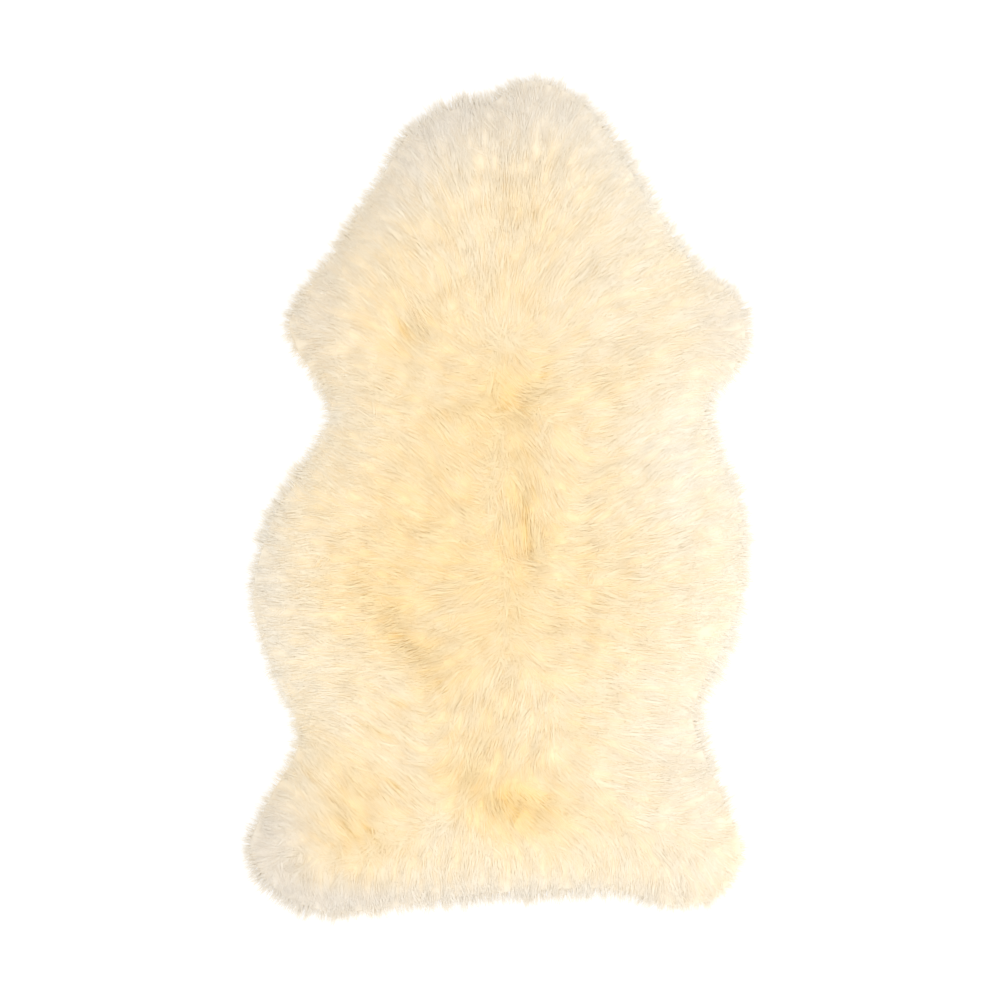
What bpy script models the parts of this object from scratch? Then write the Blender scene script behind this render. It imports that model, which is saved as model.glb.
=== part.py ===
"""A natural sheepskin rug with long wool, lying flat with the wool up.

Metres, +Z up. The origin is the middle of the rug's box at the floor, and +Y points to the neck.
Hide and fleece are one solid, as on the real skin: a flat flesh side, a rolled rim, a crown of
tufts with the partings that the wool falls into, and locks that hang out all round the rim.
"""

import math
import random

import bmesh
import bpy
from mathutils import Vector, geometry, kdtree, noise

# Driving dimensions.
LENGTH = 1.000  # poll to hind feet, over the locks
WIDTH = 0.600  # flank to flank, over the locks
PILE = 0.050  # the fleece's usual height above the floor
CROWN_RUN = 0.110  # how far in from the lock tips the fleece reaches that height

# The trimmed shape, over the lock tips, clockwise from the poll. Millimetres from the middle.
LANDMARKS = (
    # name, x, y
    ("poll", 44, 499),
    ("poll right", 90, 482),
    ("neck right", 128, 444),
    ("neck side right", 181, 361),
    ("withers right", 235, 282),
    ("upper shoulder right", 284, 243),
    ("shoulder right", 302, 196),
    ("elbow right", 287, 146),
    ("front waist right", 254, 111),
    ("ribs right", 268, 52),
    ("upper belly right", 294, -11),
    ("belly right", 299, -87),
    ("flank right", 282, -164),
    ("rear waist right", 241, -250),
    ("thigh right", 253, -305),
    ("hock right", 280, -368),
    ("hind leg right", 295, -424),
    ("hind foot right", 265, -479),
    ("inner foot right", 203, -492),
    ("rump right", 139, -474),
    ("tail", 27, -475),
    ("rump left", -80, -487),
    ("inner foot left", -197, -500),
    ("hind foot left", -268, -470),
    ("hind leg left", -300, -417),
    ("hock left", -276, -353),
    ("rear waist left", -243, -284),
    ("flank left", -278, -196),
    ("belly left", -297, -119),
    ("upper belly left", -275, -28),
    ("ribs left", -230, 46),
    ("front waist left", -206, 104),
    ("elbow left", -245, 172),
    ("shoulder left", -251, 217),
    ("upper shoulder left", -197, 295),
    ("neck side left", -148, 373),
    ("neck left", -106, 439),
    ("ear left", -48, 467),
    ("nape notch", -12, 471),
    ("poll left", 10, 486),
)
SPLINE_STEPS = 16  # points read from the outline's spline between two landmarks

# Partings, hollows and swells of the fleece. Millimetres, and degrees from +X.
RELIEF = (
    # name, x, y, half length, half width, angle, rise
    ("spine parting", 30, -5, 95, 20, 92, -8),
    ("hub of the shoulders", 26, 112, 38, 24, 60, -9),
    ("flank valley", -112, -172, 75, 19, -48, -11),
    ("croup hollow", 8, -362, 50, 22, -20, -10),
    ("hock crease", -186, -374, 36, 11, -56, -7),
    ("inner hock crease", -124, -352, 26, 10, -40, -6),
    ("left shoulder hollow", -104, 202, 30, 16, -50, -7),
    ("nape parting", 6, 395, 75, 13, 94, -6),
    ("right shoulder crease", 98, 256, 34, 10, 36, -5),
    ("right shoulder valley", 150, 142, 48, 14, 14, -5),
    ("right loin hollow", 112, -122, 40, 26, 60, -4),
    ("neck swell", 72, 285, 40, 22, 40, 4),
    ("shoulder swell", 60, 70, 26, 18, 80, 4),
    ("back swell", -60, 40, 34, 24, -60, 4),
    ("loin swell", 56, -216, 32, 24, 70, 4),
    ("thigh swell", -166, -290, 60, 26, -32, 4),
)

# Tufts of the crown: two scales of lump, the large one slow and the small one a tuft across.
SWELL_PITCH = 0.120
SWELL_RISE = 0.0035
TUFT_PITCH = 0.036
TUFT_RISE = 0.0125
TUFT_MIDDLE = 0.45  # the usual distance to the nearest tuft's middle, in tuft pitches

# The rim, ring by ring from the crown down to the flesh side. Locks fill the middle band.
RIM_STATIONS = 148
RIM_RINGS = (
    # name, inset from the lock tips, height or None for the crown's own, half stations along the rim
    ("crown edge", 0.0390, None, 0),
    ("upper lock line", 0.0280, 0.0345, 0),
    ("lower lock line", 0.0225, 0.0085, 1),
    ("hide edge", 0.0320, 0.0000, 1),
)
RIM_WAVE_PITCH = 0.055
RIM_WAVE = 0.0030

# Locks of three sides: the upper ones hang from the upper line, the lower ones lie between them.
LOCK_STEPS = (
    # share of the reach, size as a share of the root
    (0.50, 0.73),
    (1.00, 0.24),
)
LOCK_REACH_SPREAD = 0.20
LOCK_TURN = math.radians(6.0)
LOCK_SAG = 0.55  # below 1, a lock drops early and then lies level
UPPER_TIP_HEIGHT = 0.0120
UPPER_TIP_SPREAD = 0.0030
LOCK_SEED = 11

CROWN_PITCH = 0.0130  # spacing of the crown's points
CROWN_JITTER = 0.22  # how far a point strays, as a share of that spacing
FLESH_PITCH = 0.060
SEAM_CLEARANCE = 0.62  # least distance from a fill's point to its edge, in pitches
SAME_POINT = 1e-7
NORMAL_REACH = 6  # half stations to each side that a rim direction is taken over

WOOL_COLOUR = (0.93, 0.79, 0.53, 1.0)
WOOL_ROUGHNESS = 0.95


def clear_scene():
    """Start from an empty scene."""
    for obj in list(bpy.data.objects):
        bpy.data.objects.remove(obj, do_unlink=True)


def spline_point(before, start, end, after, t):
    """A point of the Catmull-Rom curve from start to end, at share t of the way."""
    slope_in = (end - before) / 2
    slope_out = (after - start) / 2
    gap = end - start
    bend = 3 * gap - 2 * slope_in - slope_out
    twist = slope_in + slope_out - 2 * gap
    return start + t * (slope_in + t * (bend + t * twist))


def smooth_outline():
    """The closed curve through the landmarks, as dense points."""
    marks = [Vector((x, y)) / 1000 for _, x, y in LANDMARKS]
    count = len(marks)
    points = []
    for i in range(count):
        corners = [marks[(i + k) % count] for k in (-1, 0, 1, 2)]
        points += [spline_point(*corners, step / SPLINE_STEPS) for step in range(SPLINE_STEPS)]
    return points


def evenly_spaced(points, count):
    """The same closed curve with its points at equal distances."""
    lengths = [(points[(i + 1) % len(points)] - p).length for i, p in enumerate(points)]
    spacing = sum(lengths) / count
    spaced = []
    walked = 0.0
    for i, length in enumerate(lengths):
        while len(spaced) * spacing <= walked + length and len(spaced) < count:
            share = (len(spaced) * spacing - walked) / length
            spaced.append(points[i].lerp(points[(i + 1) % len(points)], share))
        walked += length
    return spaced


def outward_directions(points):
    """The outward normal at each point of a clockwise curve, smoothed over its neighbours."""
    count = len(points)
    directions = []
    for i in range(count):
        along = points[(i + NORMAL_REACH) % count] - points[(i - NORMAL_REACH) % count]
        directions.append(Vector((-along.y, along.x)).normalized())
    return directions


def nearest_finder(points):
    """A search tree that gives the distance from any place to the outline."""
    tree = kdtree.KDTree(len(points))
    for i, point in enumerate(points):
        tree.insert(point.to_3d(), i)
    tree.balance()
    return tree


def relief_rise(x, y):
    """How much the partings, hollows and swells lift or sink the fleece at a place."""
    rise = 0.0
    for _, mid_x, mid_y, half_length, half_width, angle, height in RELIEF:
        turn = math.radians(angle)
        dx = 1000 * x - mid_x
        dy = 1000 * y - mid_y
        along = (dx * math.cos(turn) + dy * math.sin(turn)) / half_length
        across = (dy * math.cos(turn) - dx * math.sin(turn)) / half_width
        rise += height / 1000 * math.exp(-(along**2) - across**2)
    return rise


def tuft_rise(x, y):
    """The lumps of the fleece: slow swells, and tufts that are domes over cell middles."""
    swell = noise.noise(Vector((x, y, 0.0)) / SWELL_PITCH) * SWELL_RISE
    nearest = noise.voronoi(Vector((x, y, 0.0)) / TUFT_PITCH)[0][0]
    return swell + (TUFT_MIDDLE - nearest) * TUFT_RISE


def crown_height(x, y, tree):
    """The fleece's height above the floor at a place inside the outline."""
    inward = tree.find(Vector((x, y, 0.0)))[2]
    share = min(inward / CROWN_RUN, 1.0)
    dome = math.sqrt(1 - (1 - share) ** 2)
    return PILE * dome + (relief_rise(x, y) + tuft_rise(x, y)) * math.sqrt(share)


def rim_wave(point, ring):
    """A slow in-and-out of the rim, other on each ring."""
    return RIM_WAVE * noise.noise(Vector((point.x, point.y, ring * RIM_WAVE_PITCH)) / RIM_WAVE_PITCH)


def rim_level(place, height, number, tree):
    """A rim point's height. The crown's edge follows the crown, and the hide's edge is flat."""
    if height is None:
        return crown_height(place.x, place.y, tree)
    if height == 0.0:
        return height
    return height + rim_wave(place, number + len(RIM_RINGS))


def add_rings(bm, outline, directions, tree):
    """The vertices of each rim ring, the crown's edge first and the hide's edge last."""
    rings = []
    for number, (_, inset, height, shift) in enumerate(RIM_RINGS):
        ring = []
        for point, outward in zip(outline[shift::2], directions[shift::2]):
            place = point - outward * (inset + rim_wave(point, number))
            level = rim_level(place, height, number, tree)
            ring.append(bm.verts.new((place.x, place.y, level)))
        rings.append(ring)
    return rings


def loft(bm, upper, lower):
    """The quads between two rings with their stations in line."""
    for i, vert in enumerate(upper):
        j = (i + 1) % len(upper)
        bm.faces.new((vert, upper[j], lower[j], lower[i]))


def lock_roots(bm, upper, lower):
    """The triangles between the lock lines: hanging and lying ones by turns, in station order."""
    roots = []
    for i, vert in enumerate(upper):
        j = (i + 1) % len(upper)
        roots.append(bm.faces.new((vert, upper[j], lower[i])))
        roots.append(bm.faces.new((upper[j], lower[j], lower[i])))
    return roots


def hexagonal_points(low, high, pitch, jitter, chance):
    """Points of a triangular lattice over a box, each strayed a little."""
    points = []
    row_gap = pitch * math.sqrt(3) / 2
    for row in range(int((high.y - low.y) / row_gap) + 2):
        shift = pitch / 2 if row % 2 else 0.0
        for column in range(int((high.x - low.x) / pitch) + 2):
            stray = Vector((chance.uniform(-1, 1), chance.uniform(-1, 1))) * jitter * pitch
            points.append(Vector((low.x + column * pitch + shift, low.y + row * row_gap)) + stray)
    return points


def fill_ring(bm, ring, pitch, jitter, level):
    """Fill a ring with triangles on a lattice of the pitch. level gives each new point's height."""
    edge = [vert.co.to_2d() for vert in ring]
    tree = nearest_finder(edge)
    low = Vector((min(p.x for p in edge), min(p.y for p in edge)))
    high = Vector((max(p.x for p in edge), max(p.y for p in edge)))
    lattice = hexagonal_points(low, high, pitch, jitter, random.Random(LOCK_SEED))
    clear = [p for p in lattice if tree.find(p.to_3d())[2] > SEAM_CLEARANCE * pitch]
    order = list(range(len(edge)))
    filled = geometry.delaunay_2d_cdt(edge + clear, [], [order], 1, SAME_POINT)
    points, triangles = filled[0], filled[2]
    verts = dict(enumerate(ring))
    for triangle in triangles:
        for i in triangle:
            if i not in verts:
                verts[i] = bm.verts.new((points[i].x, points[i].y, level(points[i])))
        bm.faces.new([verts[i] for i in triangle])


def grow_lock(bm, root, outward, reach, tip_height):
    """Grow one tapering lock out of its root. It sags to tip_height, or rests on the floor."""
    start = root.calc_center_median()
    middle = start.copy()
    size = 1.0
    face = root
    for share, next_size in LOCK_STEPS:
        face = bmesh.ops.extrude_discrete_faces(bm, faces=[face])["faces"][0]
        offsets = {vert: (vert.co - middle) * (next_size / size) for vert in face.verts}
        resting = -min(offset.z for offset in offsets.values())
        middle = start + outward.to_3d() * reach * share
        middle.z = max(start.z + (tip_height - start.z) * share**LOCK_SAG, resting)
        for vert, offset in offsets.items():
            vert.co = middle + offset
        size = next_size


def turned(direction, angle):
    """A plan direction turned by an angle."""
    across = Vector((-direction.y, direction.x))
    return direction * math.cos(angle) + across * math.sin(angle)


def add_locks(bm, roots, outline, directions):
    """A lock out of every root, reaching about to the outline. Roots and outline count alike."""
    chance = random.Random(LOCK_SEED)
    for number, root in enumerate(roots):
        hanging = number % 2 == 0
        station = (number + 1) % len(outline)
        reach = (outline[station] - root.calc_center_median().to_2d()).length
        reach *= 1 + chance.uniform(-1, 1) * LOCK_REACH_SPREAD
        outward = turned(directions[station], chance.uniform(-1, 1) * LOCK_TURN)
        tip_height = UPPER_TIP_HEIGHT + chance.uniform(-1, 1) * UPPER_TIP_SPREAD
        grow_lock(bm, root, outward, reach, tip_height if hanging else 0.0)


def fit_to_size(bm):
    """Bring the finished shape to its length and width, centred on the origin."""
    low = Vector([min(vert.co[axis] for vert in bm.verts) for axis in (0, 1)])
    high = Vector([max(vert.co[axis] for vert in bm.verts) for axis in (0, 1)])
    middle = (low + high) / 2
    stretch = Vector((WIDTH / (high.x - low.x), LENGTH / (high.y - low.y)))
    for vert in bm.verts:
        vert.co.x = (vert.co.x - middle.x) * stretch.x
        vert.co.y = (vert.co.y - middle.y) * stretch.y


def make_wool():
    """Undyed cream wool."""
    material = bpy.data.materials.new("wool")
    material.use_nodes = True
    shader = material.node_tree.nodes["Principled BSDF"]
    shader.inputs["Base Color"].default_value = WOOL_COLOUR
    shader.inputs["Roughness"].default_value = WOOL_ROUGHNESS
    shader.inputs["Metallic"].default_value = 0.0
    return material


def make_sheepskin(collection):
    """The skin with its fleece, as one closed solid."""
    outline = evenly_spaced(smooth_outline(), 2 * RIM_STATIONS)
    directions = outward_directions(outline)
    tree = nearest_finder(smooth_outline())
    bm = bmesh.new()
    crown_edge, upper_line, lower_line, hide_edge = add_rings(bm, outline, directions, tree)
    fill_ring(bm, crown_edge, CROWN_PITCH, CROWN_JITTER, lambda p: crown_height(p.x, p.y, tree))
    loft(bm, crown_edge, upper_line)
    add_locks(bm, lock_roots(bm, upper_line, lower_line), outline, directions)
    loft(bm, lower_line, hide_edge)
    fill_ring(bm, hide_edge, FLESH_PITCH, 0.0, lambda p: 0.0)
    fit_to_size(bm)
    bmesh.ops.recalc_face_normals(bm, faces=bm.faces)
    mesh = bpy.data.meshes.new("sheepskin")
    bm.to_mesh(mesh)
    bm.free()
    mesh.materials.append(make_wool())
    mesh.shade_smooth()
    rug = bpy.data.objects.new("sheepskin", mesh)
    collection.objects.link(rug)
    return rug


def main():
    clear_scene()
    collection = bpy.data.collections.new("sheepskin_rug")
    bpy.context.scene.collection.children.link(collection)
    make_sheepskin(collection)


main()
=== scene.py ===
import math

import bpy
import numpy as np
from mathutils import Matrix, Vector, geometry, kdtree, noise


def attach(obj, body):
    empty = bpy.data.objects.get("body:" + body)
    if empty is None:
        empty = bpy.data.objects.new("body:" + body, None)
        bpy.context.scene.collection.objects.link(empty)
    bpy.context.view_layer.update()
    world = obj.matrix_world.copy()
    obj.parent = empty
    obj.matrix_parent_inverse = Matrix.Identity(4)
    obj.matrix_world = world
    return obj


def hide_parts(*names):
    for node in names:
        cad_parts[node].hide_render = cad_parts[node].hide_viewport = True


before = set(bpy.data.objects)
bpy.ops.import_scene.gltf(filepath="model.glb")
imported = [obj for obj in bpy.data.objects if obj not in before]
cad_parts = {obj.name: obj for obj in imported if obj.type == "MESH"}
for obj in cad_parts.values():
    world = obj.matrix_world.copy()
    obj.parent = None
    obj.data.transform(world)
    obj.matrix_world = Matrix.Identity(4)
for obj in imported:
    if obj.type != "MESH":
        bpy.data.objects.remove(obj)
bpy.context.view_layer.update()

BODY = "root"
MM = 0.001
TINY = 1e-9  # keeps a division from running into zero
SAME_POINT = 1e-8
WHITE = (1.0, 1.0, 1.0, 1.0)

# ---------------------------------------------------------------- shape of the skin

# The trimmed shape over the lock tips, clockwise from the poll.
LANDMARKS = (
    # name, x, y in mm
    ("poll", 44, 499),
    ("poll right", 90, 482),
    ("neck right", 128, 444),
    ("neck side right", 181, 361),
    ("withers right", 235, 282),
    ("upper shoulder right", 284, 243),
    ("shoulder right", 302, 196),
    ("elbow right", 287, 146),
    ("front waist right", 254, 111),
    ("ribs right", 268, 52),
    ("upper belly right", 294, -11),
    ("belly right", 299, -87),
    ("flank right", 282, -164),
    ("rear waist right", 241, -250),
    ("thigh right", 253, -305),
    ("hock right", 280, -368),
    ("hind leg right", 295, -424),
    ("hind foot right", 265, -479),
    ("inner foot right", 203, -492),
    ("rump right", 139, -474),
    ("tail", 27, -475),
    ("rump left", -80, -487),
    ("inner foot left", -197, -500),
    ("hind foot left", -268, -470),
    ("hind leg left", -300, -417),
    ("hock left", -276, -353),
    ("rear waist left", -243, -284),
    ("flank left", -278, -196),
    ("belly left", -297, -119),
    ("upper belly left", -275, -28),
    ("ribs left", -230, 46),
    ("front waist left", -206, 104),
    ("elbow left", -245, 172),
    ("shoulder left", -251, 217),
    ("upper shoulder left", -197, 295),
    ("neck side left", -148, 373),
    ("neck left", -106, 439),
    ("ear left", -48, 467),
    ("nape notch", -12, 471),
    ("poll left", 10, 486),
)
SPLINE_STEPS = 40  # points read from the outline's spline between two landmarks
OUTLINE_REACH = 6  # points to each side that the way straight out is taken over

# Partings, hollows and swells of the fleece, as bells with two half axes.
RELIEF = (
    # name, x, y, half length, half width in mm, angle in degrees, rise in mm
    ("spine parting", 30, -5, 95, 20, 92, -8),
    ("hub of the shoulders", 26, 112, 38, 24, 60, -9),
    ("flank valley", -112, -172, 75, 19, -48, -11),
    ("croup hollow", 8, -362, 50, 22, -20, -10),
    ("hock crease", -186, -374, 36, 11, -56, -7),
    ("inner hock crease", -124, -352, 26, 10, -40, -6),
    ("left shoulder hollow", -104, 202, 30, 16, -50, -7),
    ("nape parting", 6, 395, 75, 13, 94, -6),
    ("right shoulder crease", 98, 256, 34, 10, 36, -5),
    ("right shoulder valley", 150, 142, 48, 14, 14, -5),
    ("right loin hollow", 112, -122, 40, 26, 60, -4),
    ("neck swell", 72, 285, 40, 22, 40, 4),
    ("shoulder swell", 60, 70, 26, 18, 80, 4),
    ("back swell", -60, 40, 34, 24, -60, 4),
    ("loin swell", 56, -216, 32, 24, 70, 4),
    ("thigh swell", -166, -290, 60, 26, -32, 4),
)
# Short creases between tufts, as bells like RELIEF's: how deep they are; they are also painted
# warmer and darker with it, as shade.
CREASES = (
    # name, x, y, half length, half width in mm, angle in degrees, depth in mm
    ("hock upper", -219, -329, 17, 3.6, -45, 3.2),
    ("hock middle", -178, -385, 22, 3.6, -54, 2.8),
    ("hock long", -148, -394, 26, 3.6, -50, 2.8),
    ("thigh low", -119, -339, 12, 3.6, -34, 3.6),
    ("thigh front", -146, -272, 22, 3.6, -28, 2.9),
    ("thigh top", -118, -242, 15, 3.6, -18, 2.9),
    ("flank", -104, -176, 20, 4.0, -40, 2.9),
    ("loin", -66, -222, 14, 3.6, -70, 2.5),
    ("left shoulder", -112, 196, 16, 4.0, -60, 2.0),
    ("hub", 54, 142, 16, 4.0, 70, 2.9),
    ("hub low", 8, 104, 14, 3.6, 30, 2.9),
    ("spine", 35, -40, 34, 4.0, 96, 1.7),
    ("croup", 20, -372, 16, 4.0, 60, 3.2),
)
CREASE_PAINTED_SHADE = 0.10  # painted shade in the creases: warmth for each millimetre of depth
PILE = 0.050  # the fleece's usual height above the floor
CROWN_RUN = 0.110  # how far in from the lock tips the fleece reaches that height
SWELL_PITCH = 0.120
SWELL_RISE = 0.0035
TUFT_PITCH = 0.036
TUFT_RISE = 0.0085
TUFT_MIDDLE = 0.45  # the usual distance to the nearest tuft's middle, in tuft pitches

# The way the wool is combed: each mark turns the wool round it to its angle.
COMBING = (
    # name, x, y in mm, angle in degrees from +X, reach in mm
    ("nape left", -44, 384, 110, 60),
    ("nape middle", 15, 361, 92, 40),
    ("nape right", 60, 384, 68, 50),
    ("neck right", 150, 349, 42, 60),
    ("neck left edge", -127, 337, 140, 60),
    ("withers left", -32, 255, 105, 50),
    ("withers right", 38, 255, 70, 45),
    ("right shoulder crease", 103, 261, 37, 45),
    ("right shoulder", 180, 202, 22, 60),
    ("right shoulder rim", 262, 208, 5, 50),
    ("left shoulder", -197, 208, 155, 60),
    ("left shoulder inner", -103, 243, 130, 50),
    ("hub left", -38, 154, 165, 30),
    ("hub", 17, 154, 305, 25),
    ("hub right", 70, 140, 20, 35),
    ("left waist", -156, 72, 160, 60),
    ("left of the spine", -62, 37, 140, 40),
    ("right of the spine", 50, 42, 300, 35),
    ("spine", 29, -5, 275, 30),
    ("right ribs", 180, -5, 25, 70),
    ("right belly", 227, -99, 8, 60),
    ("left belly", -209, -123, 180, 70),
    ("left back", -97, -40, 155, 50),
    ("loin left", -56, -146, 195, 45),
    ("loin right", 85, -146, 345, 50),
    ("left flank", -203, -205, 172, 50),
    ("thigh valley", -127, -276, 150, 45),
    ("rump middle", -9, -264, 250, 50),
    ("left hind leg", -197, -364, 130, 45),
    ("left leg inside", -115, -358, 140, 35),
    ("left leg rim", -278, -388, 195, 35),
    ("left foot", -227, -474, 268, 40),
    ("rump left", -91, -453, 265, 50),
    ("tail", 44, -447, 270, 60),
    ("croup", 62, -382, 340, 40),
    ("right thigh", 168, -264, 345, 60),
    ("right thigh rim", 233, -217, 355, 50),
    ("right hind leg", 256, -347, 12, 45),
    ("right foot", 239, -453, 300, 45),
)
FAR_COMBING = 0.002  # a mark's weight far off, beside the 1 that it has on its own place
RIM_COMB_REACH = 0.030  # how far in from the rim the wool starts to turn straight out

# Where the locks hang out longer than elsewhere, or shorter, as bells like RELIEF's.
LONG_LOCKS = (
    # name, x, y, half length, half width in mm, angle in degrees, added reach in mm
    ("nape notch", -14, 476, 44, 24, 0, 17),
    ("ear left", -52, 466, 40, 22, 20, 12),
    ("cheek left", -124, 412, 30, 22, 57, 5),
    ("neck right", 150, 412, 75, 24, -53, 13),
    ("withers right", 212, 318, 50, 22, -53, 6),
    ("upper shoulder right", 262, 256, 40, 22, -40, 6),
    ("shoulder right", 302, 190, 60, 24, 90, 8),
    ("front waist right", 256, 106, 40, 24, 90, 9),
    ("upper belly right", 294, -30, 80, 24, 90, 9),
    ("flank right", 272, -196, 54, 26, 90, 19),
    ("thigh right", 250, -285, 60, 24, 90, 12),
    ("tail", 40, -476, 95, 24, 0, 20),
    ("rump left", -90, -488, 40, 24, 0, 6),
    ("left foot", -232, -494, 56, 24, 0, 15),
    ("left leg corner", -290, -446, 50, 26, 90, 16),
    ("ribs left", -262, 0, 50, 24, 60, 14),
    ("upper shoulder left", -226, 262, 34, 22, 57, 7),
    ("neck left", -180, 326, 36, 22, 57, 5),
    ("flank left", -286, -165, 40, 24, 90, -6),
    ("hock left", -262, -332, 36, 24, 90, -5),
)

# Where the wool is warmer or paler than its usual cream, as bells like RELIEF's.
# Partly the wool's own tone, partly painted shade (warmer in the partings, hollows and deep middle)
# and painted light (paler on the right, where the key falls).
WARMTH_SHADE_AND_LIGHT = (
    # name, x, y, half length, half width in mm, angle in degrees, amount
    ("back", -6, -50, 320, 145, 92, 0.48),
    ("spine", 33, -20, 86, 19, 92, 0.16),
    ("hub of the shoulders", 24, 118, 44, 40, 30, 0.24),
    ("left of the hub", -42, 96, 50, 24, 28, 0.14),
    ("left ribs", -132, -52, 95, 62, 90, 0.26),
    ("left belly", -205, -120, 90, 50, 90, 0.15),
    ("left belly rim", -262, -120, 120, 46, 90, -0.20),
    ("left flank", -205, -217, 50, 40, 90, -0.12),
    ("left waist", -194, 78, 50, 34, 90, -0.08),
    ("left shoulder", -130, 200, 80, 56, -40, 0.24),
    ("left shoulder rim", -228, 198, 60, 40, 90, 0.12),
    ("left withers", -115, 290, 60, 44, 0, 0.11),
    ("flank valley", -108, -168, 80, 30, -48, 0.24),
    ("rump", 48, -232, 50, 34, 0, -0.11),
    ("croup", 20, -364, 76, 38, -8, 0.52),
    ("croup fold", -20, -316, 62, 32, -34, 0.18),
    ("stifle", -165, -326, 56, 34, -30, 0.18),
    ("hock", -176, -394, 84, 62, -50, 0.41),
    ("inside the hock", -72, -402, 60, 40, 20, -0.12),
    ("poll", 48, 472, 90, 60, 0, -0.08),
    ("nape", 22, 330, 64, 24, 90, 0.08),
    ("left of the nape", -36, 326, 60, 24, 90, -0.08),
    ("neck right rim", 170, 352, 110, 44, -55, -0.22),
    ("right withers", 112, 228, 84, 42, 90, -0.13),
    ("right shoulder fold", 142, 134, 40, 26, 30, 0.12),
    ("right ribs", 208, 52, 96, 56, 90, -0.30),
    ("right loin", 132, -112, 96, 50, 90, 0.12),
    ("right belly rim", 262, -60, 150, 40, 90, -0.14),
    ("right thigh", 180, -268, 82, 56, 90, -0.12),
    ("tail rim", 20, -445, 170, 36, 0, -0.06),
)
# Painted shade: how far the wool is darkened towards a darker grey on the rims, most at the neck,
# the left side and the foot, where the light reaches less, as bells like RELIEF's.
PAINTED_RIM_SHADE = (
    # name, x, y, half length, half width in mm, angle in degrees, amount
    ("poll", 20, 470, 150, 70, 0, 0.55),
    ("neck left", -110, 390, 130, 50, 55, 0.45),
    ("neck right", 160, 372, 90, 40, -55, 0.16),
    ("left shoulder rim", -225, 210, 100, 60, 90, 0.45),
    ("left belly rim", -286, -110, 150, 36, 90, 0.30),
    ("left hind leg", -276, -410, 80, 56, 72, 0.66),
    ("left foot", -215, -484, 110, 36, 0, 0.52),
    ("tail rim", 20, -480, 210, 28, 0, 0.62),
    ("right shoulder rim", 280, 200, 90, 46, 90, 0.42),
    ("right belly rim", 292, -80, 110, 24, 90, 0.16),
    ("right thigh", 235, -320, 140, 70, 90, 0.28),
)
RIM_FADE = 0.012  # how far in from the rim the wool is thin
RIM_PALENESS_AND_LIGHT = 0.34  # how much less warm the thin wool at the rim is: partly its own paler tips, partly painted light on the shaded rim
RIM_CLEARNESS = 0.5  # how much of the painted rim shade it loses at the very rim

# ---------------------------------------------------------------- wool

GRID = 0.002  # spacing of the points at which height, combing and tint are kept
GRID_LOW = (-0.350, -0.550)
GRID_HIGH = (0.350, 0.550)
GRID_EDGE = 1.001  # reading stops just short of the last points

# A LEVEL is where a noise is cut through, so that each use of it gives a pattern of its own.
BODY_SINK = 0.0008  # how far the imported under-fleece lies below the tops of the wool
BODY_RIM_SINK = 0.0026  # how much further at the rim
BODY_PITCH = 0.0036  # spacing of its crown's points
BODY_JITTER = 0.2  # how far a point strays, as a share of that spacing
BODY_SEAM = 0.6  # least distance from a fill's point to its edge, in pitches
BODY_COMB_PITCH = 0.006
BODY_COMB_STRETCH = 4  # how many times longer than broad its combed ridges are
BODY_COMB_RISE = 0.0006
BODY_COMB_LEVEL = 1.0
BODY_WAVE = 0.0016  # a slow in-and-out of its rim, other on each ring
BODY_WAVE_PITCH = 0.018
BODY_WAVE_LEVEL = 3.0  # times the ring's number
BODY_REACH = 10  # stations to each side that the way straight out is taken over
BODY_LEAST = 0.004  # its least height
BODY_RINGS = (
    # name, inset from the lock tips, height or None for the fleece's own
    ("crown edge", 0.0100, None),
    ("shoulder", 0.0084, 0.0110),
    ("roll", 0.0080, 0.0068),
    ("under roll", 0.0130, 0.0030),
    ("on the hide", 0.0300, 0.0012),
)
BODY_STATIONS = 560
BODY_BASE_PITCH = 0.030
BODY_BASE_JITTER = 0.1
BODY_ALONG_WITH_SHADE = -0.6  # its place along the wool, from 0 at the roots: further than any strand, so the body is warmer and darker, as painted shade in the gaps
BODY_GRAIN_PITCH = 0.004

# Two values in brackets are the least and the most.
CROWN_WISP_PITCH = 0.0142
CROWN_JITTER = 0.40
CROWN_INSET = 0.0150  # no wisp of the crown is rooted nearer to the lock tips
STRANDS_IN_WISP = 16
WISP_RADIUS = 0.0085
WISP_CLOSING = 0.62  # how much of that radius is gone at the tip
WISP_LENGTH = (0.040, 0.058)
WISP_TURN = math.radians(9.0)
CLUMP_PITCH = 0.028  # neighbouring wisps turn together over about this much
CLUMP_TURN = math.radians(14.0)
CLUMP_LEVEL = 5.0
WISP_LIFT = (0.0000, 0.0019)
WISP_CROWN = 0.4  # how much lower a wisp's sides lie than its middle
STRAND_LIFT = (0.85, 1.15)
STRAND_LENGTH = (0.72, 1.08)
STRAND_TURN = math.radians(5.0)
STRAND_ROOT_DEPTH = 0.0032
STRAND_FULL_DEPTH = 0.03  # the fleece's height from which the roots go that deep
STRAND_FLATNESS = 0.26
FLAT_SIDE_UP = -math.pi / 6  # the roll with two of a strand's three corners up
STRAND_ROLL = math.radians(10.0)  # how far from it the strands stray
STRAND_SHARES = (0.0, 0.16, 0.56, 1.0)  # of its length, the places of its rings and its tip
STRAND_RISE = (-1.0, 0.20, 0.85, 0.62)  # of the root's depth below, of the wisp's lift above
STRAND_WIDTHS = (0.00032, 0.00036, 0.00028)
STRAND_BREADTH = (0.75, 1.35)
TIP_THINNING = 3  # how many times nearer to the floor the tip may lie than the last ring
OVERHANG = (-0.0070, 0.0125)  # how far a wisp reaches past the outline
SIDE_LIMIT = 0.3095  # no wisp reaches further than this to the left or right
SHORTENING = 0.92  # each time that a wisp reaches too far
SHORTENINGS = 14

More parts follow.
